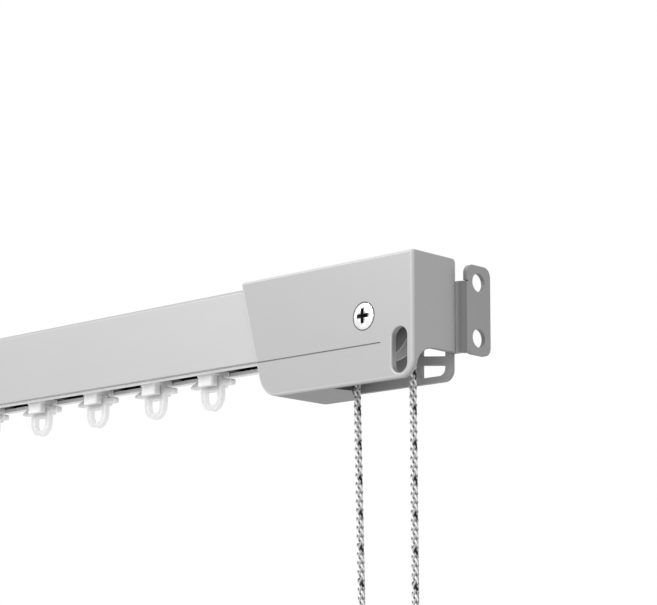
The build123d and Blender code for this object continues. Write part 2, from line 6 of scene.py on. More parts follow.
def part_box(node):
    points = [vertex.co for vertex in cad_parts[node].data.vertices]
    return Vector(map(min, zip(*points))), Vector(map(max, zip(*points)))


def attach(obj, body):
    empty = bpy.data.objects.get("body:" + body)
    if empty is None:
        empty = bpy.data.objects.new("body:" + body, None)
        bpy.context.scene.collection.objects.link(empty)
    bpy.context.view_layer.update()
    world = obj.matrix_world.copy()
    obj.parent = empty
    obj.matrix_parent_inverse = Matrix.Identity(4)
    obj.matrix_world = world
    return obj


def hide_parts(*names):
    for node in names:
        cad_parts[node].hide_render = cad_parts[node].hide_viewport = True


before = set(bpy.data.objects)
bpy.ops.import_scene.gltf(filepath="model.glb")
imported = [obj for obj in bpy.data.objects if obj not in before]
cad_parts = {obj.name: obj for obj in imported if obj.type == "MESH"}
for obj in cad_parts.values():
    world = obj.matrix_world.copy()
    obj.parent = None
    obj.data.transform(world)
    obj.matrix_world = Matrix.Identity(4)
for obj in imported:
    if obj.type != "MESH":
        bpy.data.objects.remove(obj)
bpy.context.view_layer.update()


# Rail: an aluminium extrusion with two chambers, one over the other, and a slot under the lower one.
# It is anodised a pale satin outside, with faint die lines along its length. Inside, where the cord
# and the gliders run, it is dull and painted near black as shade. The lips and ribs by the slot are
# painted light, as if lit from below. It is sawn to length and drilled for the screws.
def grain_group():
    """Fine grain over a surface: a colour, a roughness and a normal that vary together."""
    group = bpy.data.node_groups.new("surface grain", "ShaderNodeTree")
    sockets = group.interface
    colour = sockets.new_socket("Colour", in_out="INPUT", socket_type="NodeSocketColor")
    colour.default_value = (0.8, 0.8, 0.8, 1)
    for name, value in (
        ("Stretch X", 1.0), ("Stretch Y", 1.0), ("Stretch Z", 1.0), ("Scale", 900.0),
        ("Contrast", 0.05), ("Blotches", 0.03), ("Roughness", 0.45), ("Roughness range", 0.1),
        ("Bump", 0.15), ("Depth", 0.00005),
    ):
        sockets.new_socket(name, in_out="INPUT", socket_type="NodeSocketFloat").default_value = value
    sockets.new_socket("Colour", in_out="OUTPUT", socket_type="NodeSocketColor")
    sockets.new_socket("Roughness", in_out="OUTPUT", socket_type="NodeSocketFloat")
    sockets.new_socket("Normal", in_out="OUTPUT", socket_type="NodeSocketVector")
    nodes = group.nodes
    links = group.links
    inside = nodes.new("NodeGroupInput")
    outside = nodes.new("NodeGroupOutput")
    place = nodes.new("ShaderNodeTexCoord")
    stretch = nodes.new("ShaderNodeCombineXYZ")
    spread = nodes.new("ShaderNodeVectorMath")
    spread.operation = "MULTIPLY"
    grain = nodes.new("ShaderNodeTexNoise")
    grain.inputs["Detail"].default_value = 4.0
    grain.inputs["Roughness"].default_value = 0.6
    blotch = nodes.new("ShaderNodeTexNoise")
    blotch.inputs["Scale"].default_value = 45.0
    blotch.inputs["Detail"].default_value = 2.0
    for axis in "XYZ":
        links.new(inside.outputs[f"Stretch {axis}"], stretch.inputs[axis])
    links.new(place.outputs["Object"], spread.inputs[0])
    links.new(stretch.outputs["Vector"], spread.inputs[1])
    links.new(spread.outputs["Vector"], grain.inputs["Vector"])
    links.new(inside.outputs["Scale"], grain.inputs["Scale"])
    links.new(place.outputs["Object"], blotch.inputs["Vector"])

    def centred(source, amount):
        """The source's swing about zero, times an amount."""
        shift = nodes.new("ShaderNodeMath")
        shift.operation = "SUBTRACT"
        shift.inputs[1].default_value = 0.5
        links.new(source, shift.inputs[0])
        scale = nodes.new("ShaderNodeMath")
        scale.operation = "MULTIPLY"
        links.new(shift.outputs[0], scale.inputs[0])
        links.new(amount, scale.inputs[1])
        return scale.outputs[0]

    def total(a, b):
        """Sum of two values."""
        node = nodes.new("ShaderNodeMath")
        node.operation = "ADD"
        links.new(a, node.inputs[0])
        links.new(b, node.inputs[1])
        return node.outputs[0]

    swing = total(
        centred(grain.outputs["Fac"], inside.outputs["Contrast"]),
        centred(blotch.outputs["Fac"], inside.outputs["Blotches"]),
    )
    one = nodes.new("ShaderNodeMath")
    one.operation = "ADD"
    one.inputs[1].default_value = 1.0
    links.new(swing, one.inputs[0])
    tint = nodes.new("ShaderNodeVectorMath")
    tint.operation = "SCALE"
    links.new(inside.outputs["Colour"], tint.inputs[0])
    links.new(one.outputs[0], tint.inputs["Scale"])
    links.new(tint.outputs["Vector"], outside.inputs["Colour"])
    uneven = centred(grain.outputs["Fac"], inside.outputs["Roughness range"])
    links.new(total(inside.outputs["Roughness"], uneven), outside.inputs["Roughness"])
    bump = nodes.new("ShaderNodeBump")
    links.new(inside.outputs["Bump"], bump.inputs["Strength"])
    links.new(inside.outputs["Depth"], bump.inputs["Distance"])
    links.new(grain.outputs["Fac"], bump.inputs["Height"])
    links.new(bump.outputs["Normal"], outside.inputs["Normal"])
    return group


surface_grain = grain_group()


def finish(name, colour, metallic=0.0, coat=0.0, subsurface=0.0, depth=0.001, **grain):
    """Material with the shared grain, its own colour and its own shine."""
    material = bpy.data.materials.new(name)
    material.use_nodes = True
    nodes = material.node_tree.nodes
    links = material.node_tree.links
    shader = nodes["Principled BSDF"]
    shader.inputs["Metallic"].default_value = metallic
    shader.inputs["Coat Weight"].default_value = coat
    shader.inputs["Coat Roughness"].default_value = 0.2
    shader.inputs["Subsurface Weight"].default_value = subsurface
    shader.inputs["Subsurface Radius"].default_value = (1.0, 1.0, 1.0)
    shader.inputs["Subsurface Scale"].default_value = depth
    effect = nodes.new("ShaderNodeGroup")
    effect.node_tree = surface_grain
    effect.inputs["Colour"].default_value = (*colour, 1)
    for socket, value in grain.items():
        effect.inputs[socket.replace("_", " ")].default_value = value
    links.new(effect.outputs["Colour"], shader.inputs["Base Color"])
    links.new(effect.outputs["Roughness"], shader.inputs["Roughness"])
    links.new(effect.outputs["Normal"], shader.inputs["Normal"])
    return material


same_place = 0.000004
same_plane = math.radians(0.6)
sharp_edge = math.radians(38)
smooth_edge = math.radians(32)


def pick(piece):
    """Makes a piece the only selected one, and the active one."""
    bpy.ops.object.select_all(action="DESELECT")
    piece.select_set(True)
    bpy.context.view_layer.objects.active = piece


def joined_copy(node):
    """Copy of a CAD node whose loose triangles are joined into whole faces."""
    piece = bpy.data.objects.new(node + "_finished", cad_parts[node].data.copy())
    bpy.context.scene.collection.objects.link(piece)
    piece.data.materials.clear()
    pick(piece)
    bpy.ops.object.mode_set(mode="EDIT")
    bpy.ops.mesh.select_all(action="SELECT")
    bpy.ops.mesh.remove_doubles(threshold=same_place)
    bpy.ops.mesh.dissolve_limited(angle_limit=same_plane)
    bpy.ops.mesh.select_all(action="DESELECT")
    bpy.ops.object.mode_set(mode="OBJECT")
    return piece


def dress(piece, node, body, material, width):
    """Rounds a copy's sharp edges, evens its shading and puts it in its CAD node's place."""
    pick(piece)
    if width:
        rounding = piece.modifiers.new("rounding", "BEVEL")
        rounding.width = width
        rounding.segments = 2
        rounding.limit_method = "ANGLE"
        rounding.angle_limit = sharp_edge
        rounding.miter_outer = "MITER_ARC"
        bpy.ops.object.modifier_apply(modifier="rounding")
    bpy.ops.object.shade_smooth_by_angle(angle=smooth_edge)
    evening = piece.modifiers.new("even normals", "WEIGHTED_NORMAL")
    evening.keep_sharp = True
    evening.weight = 90
    bpy.ops.object.modifier_apply(modifier="even normals")
    piece.data.materials.append(material)
    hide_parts(node)
    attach(piece, body)


def rounded_copy(node, body, material, width):
    """Copy of a CAD node with whole faces and rounded edges, in its place."""
    piece = joined_copy(node)
    dress(piece, node, body, material, width)
    return piece


def second_finish(piece, material, belongs):
    """Gives another finish to the faces whose centre and direction pass a test."""
    piece.data.materials.append(material)
    index = len(piece.data.materials) - 1
    for face in piece.data.polygons:
        if belongs(face.center, face.normal):
            face.material_index = index


satin_aluminium = finish(
    "satin aluminium", (0.385, 0.385, 0.388), metallic=0.25, coat=0.1, Stretch_X=0.02, Scale=2400.0,
    Contrast=0.08, Roughness=0.45, Roughness_range=0.12, Bump=0.25, Depth=0.00003,
)
# Painted shade: a near-black finish for the faces inside the chambers, as the shade deep in the rail.
shaded_aluminium = finish(
    "shaded aluminium", (0.045, 0.045, 0.046), metallic=0.2, Stretch_X=0.05, Scale=1500.0,
    Contrast=0.3, Roughness=0.6, Roughness_range=0.2, Bump=0.2, Depth=0.00004,
)
# Painted light: a near-white finish on the lips, the ribs and the lower rounded edges, as if lit from
# below.
lit_aluminium = finish(
    "lit aluminium", (0.92, 0.92, 0.925), Stretch_X=0.02, Scale=3000.0, Contrast=0.12,
    Roughness=0.35, Roughness_range=0.15, Bump=0.2, Depth=0.00003,
)
rail_low, rail_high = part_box("rail")
outer_skin = 0.0009
chamber_floor = rail_low[2] + 0.0014
chamber_roof = rail_high[2] - 0.0006
lip_top = rail_low[2] + 0.0013
rib_sole = rail_low[2] + 0.0002
rear_lip = -0.0125


def inside_rail(centre, normal):
    """Whether a face of the rail looks into one of its chambers, where it is painted near black as
    shade.
    """
    return (
        rail_low[1] + outer_skin < centre.y < rail_high[1] - outer_skin
        and chamber_floor < centre.z < chamber_roof and abs(normal.x) < 0.9
    )


def lit_lip(centre, normal):
    """Whether a face of the rail is painted light, as if lit from below: the lips beside the slot with
    the low ribs under them, and edges that are rounded down to the front."""
    return abs(normal.x) < 0.9 and (
        (centre.z < lip_top and normal.z > -0.9) or centre.z < rib_sole
        or (normal.y < -0.12 and normal.z < -0.12) or (centre.z < lip_top and centre.y > rear_lip)
    )


rail = rounded_copy("rail", "track", satin_aluminium, width=0.00022)
second_finish(rail, shaded_aluminium, inside_rail)
second_finish(rail, lit_aluminium, lit_lip)

# End stops: small moulded plugs of grey plastic, pushed into the ends of the lower chamber. They
# keep the gliders in the rail.
stop_moulding = finish(
    "stop moulding", (0.42, 0.42, 0.42), Scale=900.0, Contrast=0.06, Roughness=0.5, Bump=0.2,
)
for node in ("end_stop", "return_stop"):
    rounded_copy(node, "track", stop_moulding, width=0.0002)

# Brackets: pressed from steel strip, bent at the neck, pierced for the wall's screws and coated dark
# grey. One stands at each end of the rail, held to the rail's back wall by two zinc-plated screws.
dark_coat = finish(
    "dark coat", (0.262, 0.262, 0.265), metallic=0.1, coat=0.1, Scale=1300.0, Contrast=0.12,
    Blotches=0.10, Roughness=0.48, Roughness_range=0.16, Bump=0.25, Depth=0.00006,
)
# Painted light: a lighter coat on the bracket's plate, which lies in the cover's shade.
lit_coat = finish(
    "lit coat", (0.40, 0.40, 0.403), metallic=0.1, coat=0.1, Scale=1300.0, Contrast=0.22,
    Blotches=0.2, Roughness=0.48, Roughness_range=0.16, Bump=0.35, Depth=0.00008,
)
# Painted shade: a darker coat on the bend of the neck, next to the cover.
shaded_bend_coat = finish(
    "shaded bend coat", (0.165, 0.165, 0.167), metallic=0.1, coat=0.1, Scale=1300.0, Contrast=0.12,
    Roughness=0.5, Roughness_range=0.16, Bump=0.25, Depth=0.00006,
)
neck_bottom = -0.018
return_neck, control_neck = -0.476, -0.004


def plate_face(centre, normal):
    """Whether a face of a bracket is the front of its plate, or lies on the plate below the neck;
    these get a lighter coat as painted light.
    """
    return (normal.y < -0.9 and return_neck < centre.x < control_neck) or (
        centre.z < neck_bottom and abs(normal.y) > 0.3
    )


def bend_face(centre, normal):
    """Whether a face of a bracket lies on the bend of its neck, which gets a darker coat as painted
    shade.
    """
    return (
        centre.z > neck_bottom and abs(normal.x) > 0.3 and abs(normal.y) > 0.3 and abs(normal.z) < 0.1
    )


for node in ("end_bracket", "return_bracket"):
    bracket = rounded_copy(node, "track", dark_coat, width=0.00015)
    second_finish(bracket, lit_coat, plate_face)
    second_finish(bracket, shaded_bend_coat, bend_face)
bright_zinc = finish(
    "bright zinc", (0.80, 0.80, 0.81), metallic=0.85, Scale=1500.0, Contrast=0.05, Roughness=0.3,
    Roughness_range=0.15, Bump=0.1, Depth=0.00003,
)
rounded_copy("bracket_screws", "track", bright_zinc, width=0.00008)

# Wheels: moulded in off-white acetal, each with a groove for the cord and holes in its web. They
# turn on steel axles riveted to the brackets. A clip holds the wheel under the control head.
wheel_moulding = finish(
    "wheel moulding", (0.55, 0.55, 0.54), subsurface=0.1, Scale=900.0, Contrast=0.05, Roughness=0.38,
    Bump=0.15,
)
for node in ("head_wheel", "inner_wheel", "return_wheel"):
    rounded_copy(node, node, wheel_moulding, width=0.0001)
turned_steel = finish(
    "turned steel", (0.50, 0.50, 0.51), metallic=0.9, Stretch_Y=0.1, Scale=3000.0, Contrast=0.1,
    Roughness=0.32,
)
for node in ("wheel_axle", "return_axle", "inner_axle", "inner_clip"):
    rounded_copy(node, "track", turned_steel, width=0.00008)

# Covers: moulded shells in light grey plastic with a fine spark-eroded texture. Their undersides are
# painted darker as shade, and their edges rounded to the front carry a painted highlight. They slide
# over the ends of the rail and hide the wheels. The control head's has a belly under the rail, closed
# behind by a thin wall, with its floor cut away for the cords.
grey_moulding = finish(
    "grey moulding", (0.33, 0.33, 0.335), coat=0.2, Scale=1800.0, Contrast=0.05, Blotches=0.04,
    Roughness=0.38, Roughness_range=0.1, Bump=0.25, Depth=0.00006,
)
shaded_moulding = finish(
    "shaded moulding", (0.06, 0.06, 0.061), Scale=1200.0, Contrast=0.15, Roughness=0.6, Bump=0.2,
)
# Painted shade: a darker moulding for the underside of the belly.
shaded_underside_moulding = finish(
    "shaded underside moulding", (0.245, 0.245, 0.25), coat=0.1, Scale=1800.0, Contrast=0.04, Blotches=0.2,
    Roughness=0.5, Roughness_range=0.1, Bump=0.1, Depth=0.00005,
)
# Painted shade: a darker moulding in the seam's groove.
shaded_seam_moulding = finish(
    "shaded seam moulding", (0.20, 0.20, 0.20), Scale=1800.0, Contrast=0.04, Roughness=0.5, Bump=0.1,
)
# Painted highlight: a lighter, glossier finish on the edges rounded towards the room.
highlight_moulding = finish(
    "highlight moulding", (0.46, 0.46, 0.465), coat=0.3, Scale=1800.0, Contrast=0.04, Roughness=0.3,
    Roughness_range=0.1, Bump=0.1, Depth=0.00005,
)
cover_edge = 0.00025
cover_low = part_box("head_cover")[0]
cover_wall = 0.0014
front_rounding = 0.0008
inside_of_front, inside_of_back = -0.020, -0.0070
inside_of_roof = 0.010
inside_of_end = -0.008
inside_of_floor = (-0.0235, -0.018)
belly_left, belly_right = -0.060, -0.030
slant_left = -0.055
floor_top = -0.0205
countersink_radius = 0.0047
seam_height = -0.0121
seam_end, dark_seam_end = -0.010, -0.016
floor_slant = 0.415
slant_length = 0.012
slant_low = (-0.0460, -0.0230)
slant_high = (-0.0400, -0.0080)
slant_height = -0.0215
floor_corner = (-0.0366, -0.0192)
wall_place = (-0.0593, -0.0041, -0.0169)
wall_width, wall_height, wall_thickness = 0.0226, 0.0112, 0.0013
wall_corner_radius = 0.0066
wall_corner_inset = 0.0027

# The slanted end of the belly's floor gets a corner in its middle, drawn out beside the cord.
head_cover = joined_copy("head_cover")
for edge in head_cover.data.edges:
    a, b = (head_cover.data.vertices[index].co for index in edge.vertices)
    run = (b - a).normalized()
    slanted = abs(abs(run.x) - floor_slant) < 0.06 and abs(run.z) < 0.01
    edge.select = slanted and (b - a).length > slant_length and a.z < -0.020
bpy.ops.object.mode_set(mode="EDIT")
bpy.ops.mesh.select_mode(type="EDGE")
bpy.ops.mesh.subdivide(number_cuts=1)
bpy.ops.mesh.select_mode(type="VERT")
bpy.ops.mesh.select_all(action="DESELECT")
bpy.ops.object.mode_set(mode="OBJECT")
middles = [
    corner for corner in head_cover.data.vertices
    if slant_low[0] < corner.co.x < slant_high[0] and slant_low[1] < corner.co.y < slant_high[1]
    and corner.co.z < slant_height
]
for corner in middles:
    corner.select = True
if middles:
    start = middles[0].co.copy()
    bpy.ops.object.mode_set(mode="EDIT")
    bpy.ops.transform.translate(value=(floor_corner[0] - start.x, floor_corner[1] - start.y, 0))
    bpy.ops.mesh.select_all(action="DESELECT")
    bpy.ops.object.mode_set(mode="OBJECT")

# The wall behind the belly: a plate with one rounded corner, joined to the shell.
bpy.ops.object.select_all(action="DESELECT")
bpy.ops.mesh.primitive_plane_add(size=1.0, location=wall_place, rotation=(math.radians(90), 0, 0))
belly_wall = bpy.context.active_object
bpy.ops.object.mode_set(mode="EDIT")
bpy.ops.transform.resize(value=(wall_width, 1.0, wall_height))
bpy.ops.mesh.select_mode(type="VERT")
bpy.ops.mesh.select_all(action="DESELECT")
bpy.ops.object.mode_set(mode="OBJECT")
bpy.ops.object.transform_apply(location=True, rotation=True, scale=True)
for corner in belly_wall.data.vertices:
    corner.select = corner.co.x < wall_place[0] and corner.co.z < wall_place[2]
bpy.ops.object.mode_set(mode="EDIT")
bpy.ops.transform.translate(value=(wall_corner_inset, 0, 0))
bpy.ops.mesh.bevel(offset=wall_corner_radius, segments=8, affect="VERTICES")
bpy.ops.object.mode_set(mode="OBJECT")
thickness = belly_wall.modifiers.new("thickness", "SOLIDIFY")
thickness.thickness = wall_thickness
thickness.offset = 1.0
bpy.ops.object.modifier_apply(modifier="thickness")
pick(head_cover)
belly_wall.select_set(True)
bpy.ops.object.join()
dress(head_cover, "head_cover", "track", grey_moulding, width=cover_edge)
return_cover = rounded_copy("return_cover", "track", grey_moulding, width=cover_edge)


def front_middle(node):
    """Where the middle of a node is, seen from the front."""
    low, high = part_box(node)
    return (low[0] + high[0]) / 2, (low[2] + high[2]) / 2


screw_x, screw_z = front_middle("cover_screw")


def inner_face(centre, normal):
    """Whether a face of the head's cover looks into the shell, or lies in its seam or by its screw."""
    depth = centre.y - cover_low[1]
    if 0.00004 < depth < 0.00035:
        round_screw = math.hypot(centre.x - screw_x, centre.z - screw_z) < countersink_radius
        return round_screw or (abs(centre.z - seam_height) < 0.0003 and centre.x < dark_seam_end)
    return depth > cover_wall and (
        (normal.y > 0.9 and centre.y < inside_of_front)
        or (normal.y < -0.9 and centre.y > inside_of_back)
        or (normal.z < -0.9 and centre.z > inside_of_roof)
        or (normal.z > 0.5 and inside_of_floor[0] < centre.z < inside_of_floor[1])
        or (normal.x < -0.9 and centre.x > inside_of_end)
        or (normal.x > 0.5 and centre.x < belly_left)
    )


def under_belly(centre, normal):
    """Whether a face of the head's cover is the underside of its belly, which is painted darker as
    shade.
    """
    return normal.z < -0.6 and centre.z < floor_top and centre.x < belly_right


def in_seam(centre, normal):
    """Whether a face of the head's cover lies in the seam along its front, which is painted darker as
    shade.
    """
    return (
        abs(centre.z - seam_height) < 0.0004 and centre.x < seam_end
        and 0.0001 < centre.y - cover_low[1] < 0.0004
    )


def rounded_front(centre, normal):
    """Whether a face of a cover lies on an edge that is rounded towards the room, which gets a painted
    highlight.
    """
    return normal.y < -0.12 and math.hypot(normal.x, normal.z) > 0.12


def floor_end(centre, normal):
    """Whether a face of the head's cover lies on the slanted end of its belly's floor."""
    return (
        normal.x > 0.3 and abs(normal.z) < 0.5 and centre.z < floor_top
        and slant_left < centre.x < belly_right and centre.y > cover_low[1] + front_rounding
    )


# Painted shade inside the shell, in the seam, round the screw, under the belly and on the floor's cut
# end; a painted highlight on the rounded front edges.
second_finish(head_cover, shaded_moulding, inner_face)
second_finish(head_cover, shaded_underside_moulding, under_belly)
second_finish(head_cover, shaded_seam_moulding, in_seam)
for cover in (head_cover, return_cover):
    second_finish(cover, highlight_moulding, rounded_front)
second_finish(head_cover, shaded_moulding, floor_end)

# Cover screws: raised countersunk M4 screws with a cross recess, in bright zinc-plated steel. One
# goes through the front of each cover, into the end of the axle behind it.
shaded_zinc = finish(
    "shaded zinc", (0.10, 0.10, 0.10), metallic=0.6, Scale=1500.0, Contrast=0.1, Roughness=0.45,
)
shaded_recess = finish(
    "shaded screw recess", (0.02, 0.02, 0.021), metallic=0.3, Scale=1500.0, Contrast=0.2, Roughness=0.5,
)
recess_radius = 0.0027
head_rim = 0.0040
for node in ("cover_screw", "return_screw"):
    screw = rounded_copy(node, "track", bright_zinc, width=0.0)
    head_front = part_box(node)[0][1]
    middle_x, middle_z = front_middle(node)
    # Painted shade: the cross recess near black, and the head's side, down in its countersink, dark.
    second_finish(
        screw, shaded_recess,
        lambda centre, normal: math.hypot(centre.x - middle_x, centre.z - middle_z) < recess_radius
        and head_front + 0.0002 < centre.y < head_front + 0.003,
    )
    second_finish(
        screw, shaded_zinc,
        lambda centre, normal: math.hypot(centre.x - middle_x, centre.z - middle_z) > head_rim
        and abs(normal.y) < 0.85,
    )

# Gliders: small mouldings in milky nylon. Each has a shoe that slides in the rail, a block in the
# slot, and a flat plate with two wings and a ring for the curtain hook.
milky_nylon = finish(
    "milky nylon", (0.76, 0.76, 0.76), coat=0.1, subsurface=1.0, depth=0.004, Scale=600.0,
    Contrast=0.04, Roughness=0.36, Roughness_range=0.1, Bump=0.12, Depth=0.00005,
)
# Painted shade: a darker nylon for the front of the plate and the ring.
shaded_front_nylon = finish(
    "shaded front nylon", (0.52, 0.52, 0.52), coat=0.1, subsurface=1.0, depth=0.004, Scale=600.0,
    Contrast=0.06, Roughness=0.36, Roughness_range=0.1, Bump=0.12, Depth=0.00005,
)
# Painted shade: the parts of the gliders up inside the rail are painted near black.
shaded_nylon = finish(
    "shaded nylon", (0.05, 0.05, 0.05), Scale=900.0, Contrast=0.2, Roughness=0.45, Bump=0.2,
)
nylon_edge = 0.00022
shade_line = rail_low[2] + 0.0012
plate_top = -0.0155


def shoe_in_shade(centre, normal):
    """Whether a face of a glider is up inside the rail, where it is painted near black as shade."""
    return centre.z > shade_line


def front_in_shade(centre, normal):
    """Whether a face of a glider is the front of its plate or ring, which is painted darker as shade.
    """
    return normal.y < -0.5 and centre.z < plate_top


for number in range(1, 8):
    node = f"glider_{number}"
    glider = rounded_copy(node, node, milky_nylon, width=nylon_edge)
    second_finish(glider, shaded_nylon, shoe_in_shade)
    second_finish(glider, shaded_front_nylon, front_in_shade)

# Carrier: a longer nylon shoe that the cord is tied through. Two steel screws from below clamp the
# cord's ends, so the carrier draws the curtain's leading edge along.
carrier = rounded_copy("carrier_body", "carrier", milky_nylon, width=nylon_edge)
second_finish(carrier, shaded_nylon, shoe_in_shade)
second_finish(carrier, shaded_front_nylon, front_in_shade)
rounded_copy("clamp_screws", "carrier", bright_zinc, width=0.00008)

# Cord: a limp braid of 2.3 mm in bright polyester, four white strands wound against four grey ones
# over a grey core, with black spots on one white strand. The grey strands and the grey core are
# painted shade, for the shaded side of the braid and the gaps between its strands. It is one loop: it
# runs in the rail from the control head to the return wheel and back, and under the head it hangs
# round the weight's wheel.
hanging_route = [
    (-0.03703, -0.01655, -0.0132),
    (-0.03396, -0.01655, -0.1063),
    (-0.03325, -0.01655, -0.1279),
    (-0.01166, -0.01655, -0.1279),
    (-0.01193, -0.01655, -0.1063),
    (-0.01322, -0.01655, -0.00485),
]
rail_route = [
    (-0.03703, -0.01655, -0.0132),
    (-0.03736, -0.01655, -0.0032),
    (-0.0530, -0.01655, -0.0032),
    (-0.4507, -0.01655, -0.0032),
    (-0.461275, -0.01655, -0.0032),
    (-0.461275, -0.01655, 0.00735),
    (-0.4507, -0.01655, 0.00735),
    (-0.0338, -0.01655, 0.00735),
    (-0.01338, -0.01655, 0.00735),
    (-0.01322, -0.01655, -0.00485),
]
cord_diameter = 0.0023
braid_pitch = 0.011057
start_turn = math.radians(217.96)
slow_turn = math.radians(112)


def spline_points(name, route):
    """Points along the smooth line that a route makes."""
    line = bpy.data.curves.new(name, "CURVE")
    line.dimensions = "3D"
    line.resolution_u = 64
    spline = line.splines.new("NURBS")
    spline.points.add(len(route) - 1)
    for point, place in zip(spline.points, route):
        point.co = (*place, 1)
    spline.order_u = 3
    spline.use_endpoint_u = True
    holder = bpy.data.objects.new(name, line)
    mesh = bpy.data.meshes.new_from_object(holder)
    points = [vertex.co.copy() for vertex in mesh.vertices]
    bpy.data.objects.remove(holder)
    bpy.data.meshes.remove(mesh)
    return points


def even_steps(points, step):
    """Places and directions at equal distances along a line of points."""
    places = []
    walked = 0.0
    target = 0.0
    for a, b in zip(points, points[1:]):
        length = (b - a).length
        while length > 0 and target <= walked + length:
            places.append((a.lerp(b, (target - walked) / length), target))
            target += step
        walked += length
    lines = []
    for index, (place, along) in enumerate(places):
        before = places[max(index - 1, 0)][0]
        after = places[min(index + 1, len(places) - 1)][0]
        lines.append((place, (after - before).normalized(), along))
    return lines


def braid(name, points, step, sides, materials):
    """Mesh of a braid along a line: four plump strands wound each way, over one and under one, on a
    core. The whole braid turns slowly as it goes. The UV map holds millimetres along the cord and
    the place round a strand."""
    across = Vector((0, 1, 0))
    middle = 0.33 * cord_diameter
    wave = 0.055 * cord_diameter
    half_width = 0.19 * cord_diameter
    half_height = 0.15 * cord_diameter
    core = 8
    core_radius = 0.21 * cord_diameter
    lean = math.atan(2 * math.pi * middle / braid_pitch)
    vertices = []
    faces = []
    face_strands = []
    face_places = []
    lines = even_steps(points, step)
    length = lines[-1][2]
    for strand in range(core + 1):
        hand = 1 if strand < 4 else -1
        first = len(vertices)
        for place, along, distance in lines:
            side = along.cross(across)
            turn = 2 * math.pi * distance / braid_pitch + start_turn
            twist = slow_turn * (distance / length - 0.5)
            angle = strand * math.pi / 2 + hand * turn + twist
            outward = math.cos(angle) * across + math.sin(angle) * side
            round_it = -math.sin(angle) * across + math.cos(angle) * side
            flat = round_it * math.cos(lean) - along * hand * math.sin(lean)
            centre = place + outward * (middle + hand * wave * math.cos(4 * turn))
            for corner in range(sides):
                around = 2 * math.pi * corner / sides
                if strand == core:
                    spoke = math.cos(around) * across + math.sin(around) * side
                    vertices.append(place + core_radius * spoke)
                else:
                    tall = half_height * math.sin(around)
                    wide = half_width * math.cos(around)
                    vertices.append(centre + outward * tall + flat * wide)
        for ring in range(len(lines) - 1):
            near = lines[ring][2] * 1000
            far = lines[ring + 1][2] * 1000
            for corner in range(sides):
                a = first + ring * sides + corner
                b = first + ring * sides + (corner + 1) % sides
                v_a = corner / sides
                v_b = (corner + 1) / sides
                faces.append((a, b, b + sides, a + sides))
                face_strands.append(strand)
                face_places.append(((near, v_a), (near, v_b), (far, v_b), (far, v_a)))
        for end, order in ((0, -1), (len(lines) - 1, 1)):
            corners = range(sides)[::order]
            faces.append(tuple(first + end * sides + corner for corner in corners))
            face_strands.append(strand)
            face_places.append(tuple((lines[end][2] * 1000, corner / sides) for corner in corners))
    mesh = bpy.data.meshes.new(name)
    mesh.from_pydata(vertices, [], faces)
    uv = mesh.uv_layers.new(name="along the strand")
    for face, strand, places in zip(mesh.polygons, face_strands, face_places):
        face.material_index = strand
        face.use_smooth = len(face.vertices) == 4
        for loop, place in zip(face.loop_indices, places):
            uv.data[loop].uv = place
    for material in materials:
        mesh.materials.append(material)
    piece = bpy.data.objects.new(name, mesh)
    bpy.context.scene.collection.objects.link(piece)
    pick(piece)
    bpy.ops.object.mode_set(mode="EDIT")
    bpy.ops.mesh.select_all(action="SELECT")
    bpy.ops.mesh.normals_make_consistent(inside=False)
    bpy.ops.object.mode_set(mode="OBJECT")
    return piece


spot_drift = 0.001206
spot_start = 0.3547
spot_half_length = 0.13


